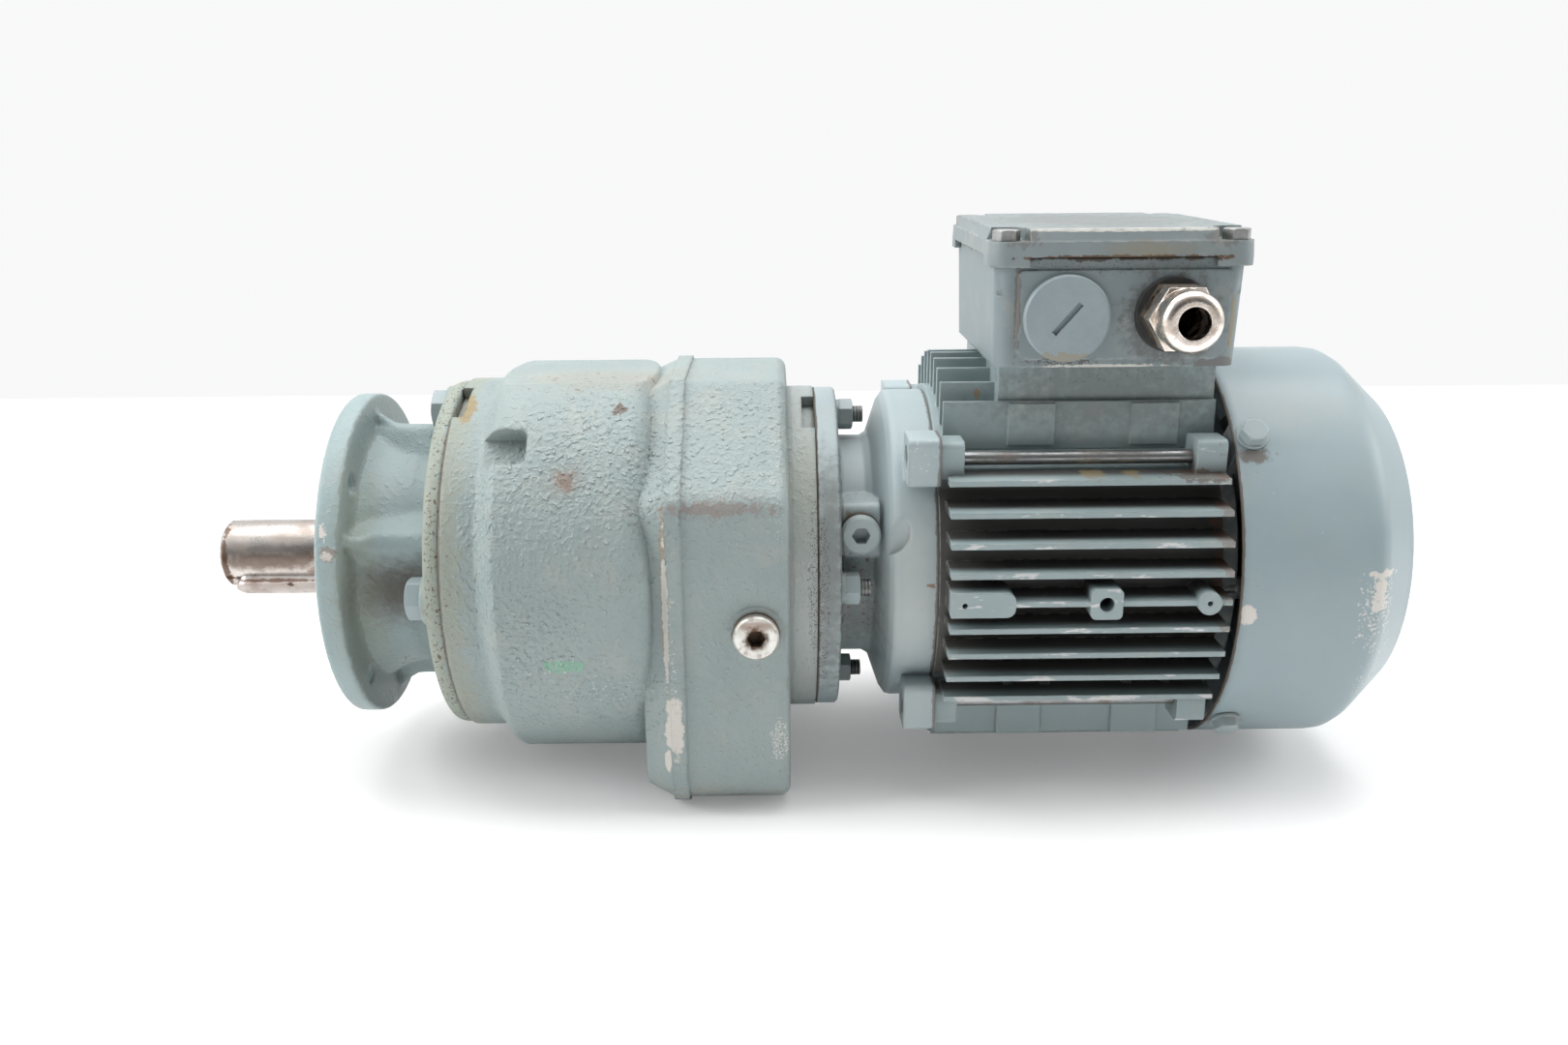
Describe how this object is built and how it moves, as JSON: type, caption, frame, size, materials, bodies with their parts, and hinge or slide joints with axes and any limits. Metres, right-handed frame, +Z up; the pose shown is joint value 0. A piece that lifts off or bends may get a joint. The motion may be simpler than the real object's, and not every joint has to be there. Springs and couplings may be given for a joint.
{
  "type": "inline helical gearmotor",
  "caption": "Flange-mounted inline helical gearmotor with a keyed output shaft, finned motor housing, fan cowl and terminal box with a cable gland.",
  "frame": {"origin": "centre of the mounting flange's face on the output shaft's axis", "axes": "+X along the axis from the shaft end to the fan cowl, +Z up to the terminal box, -Y the side with the cable gland"},
  "size_m": [0.4248, 0.1475, 0.1996],
  "materials": {
    "gearcase_enamel": "satin blue-grey machinery enamel on a coarse iron casting, worn and grimy at the joints",
    "flange_enamel": "satin blue-grey machinery enamel on a smoother casting",
    "motor_enamel": "satin blue-grey enamel on die-cast motor parts, chipped on the fin edges",
    "cowl_enamel": "satin blue-grey enamel on pressed sheet, scuffed at the rim",
    "box_enamel": "satin blue-grey enamel, slightly darker, with oil stains",
    "bright_steel": "turned steel with brown handling stains",
    "zinc_steel": "zinc plated, dulled",
    "gear_steel": "hardened steel, oiled",
    "bearing_steel": "ground bearing steel",
    "lamination_steel": "stacked electrical sheet",
    "cast_aluminium": "as cast",
    "winding_copper": "varnished copper coils",
    "black_rubber": "matte nitrile rubber",
    "washer_copper": "dull sealing washer",
    "plug_plastic": "satin grey moulding",
    "nickel_brass": "nickel plated brass, worn to brass on the rim",
    "board_plastic": "brown phenolic moulding",
    "terminal_brass": "plain brass",
    "fan_plastic": "black glass-filled nylon"
  },
  "bodies": {
    "housing": {"blanking_plug": "plug_plastic", "box_foot_seal": "black_rubber", "case_oil_plug": "motor_enamel", "case_plug_washer": "washer_copper", "cowl_screws": "zinc_steel", "endshield_screws": "zinc_steel", "fan_cowl": "cowl_enamel", "flange_bolts": "zinc_steel", "gearbox_bearing_outer_rings": "bearing_steel", "gearcase": "gearcase_enamel", "gland_body": "nickel_brass", "gland_locknut": "nickel_brass", "gland_nut": "nickel_brass", "gland_seal": "black_rubber", "layshaft_needle_bush": "bearing_steel", "lid_screws": "zinc_steel", "lid_seal": "black_rubber", "motor_bearing_outer_rings": "bearing_steel", "motor_flange": "motor_enamel", "motor_seal": "black_rubber", "motor_studs": "zinc_steel", "neck_oil_plug": "motor_enamel", "neck_plug_washer": "washer_copper", "output_flange": "flange_enamel", "output_seal": "black_rubber", "rear_endshield": "motor_enamel", "stator_core": "lamination_steel", "stator_housing": "motor_enamel", "stator_windings": "winding_copper", "stud_nuts": "zinc_steel", "stud_washers": "zinc_steel", "terminal_board": "board_plastic", "terminal_box": "box_enamel", "terminal_box_lid": "box_enamel", "terminal_links": "terminal_brass", "terminal_nuts": "terminal_brass", "terminal_studs": "terminal_brass", "tie_rods": "zinc_steel"},
    "output_body": {"output_shaft": "bright_steel", "shaft_key": "bright_steel", "output_wheel": "gear_steel", "output_wheel_key": "gear_steel", "output_bearing_inner_rings": "bearing_steel"},
    "layshaft_body": {"layshaft": "gear_steel", "middle_wheel": "gear_steel", "middle_wheel_key": "gear_steel", "layshaft_collar": "gear_steel", "layshaft_bearing_inner_ring": "bearing_steel"},
    "rotor_body": {"motor_shaft": "gear_steel", "motor_pinion": "gear_steel", "rotor_core": "lamination_steel", "rotor_end_rings": "cast_aluminium", "motor_bearing_inner_rings": "bearing_steel", "fan": "fan_plastic"}
  },
  "joints": [
    {"name": "rotor_spin", "type": "hinge", "parent": "housing", "child": "rotor_body", "pos_m": [0.2, 0, 0.002], "axis": [1, 0, 0], "continuous": true},
    {"name": "layshaft_spin", "type": "hinge", "parent": "housing", "child": "layshaft_body", "pos_m": [0.1, 0, -0.0385], "axis": [1, 0, 0], "continuous": true},
    {"name": "output_spin", "type": "hinge", "parent": "housing", "child": "output_body", "pos_m": [0, 0, 0], "axis": [1, 0, 0], "continuous": true}
  ],
  "couplings": [
    {"joint": "layshaft_spin", "follows": "rotor_spin", "ratio": -0.31707},
    {"joint": "output_spin", "follows": "rotor_spin", "ratio": 0.10569}
  ]
}
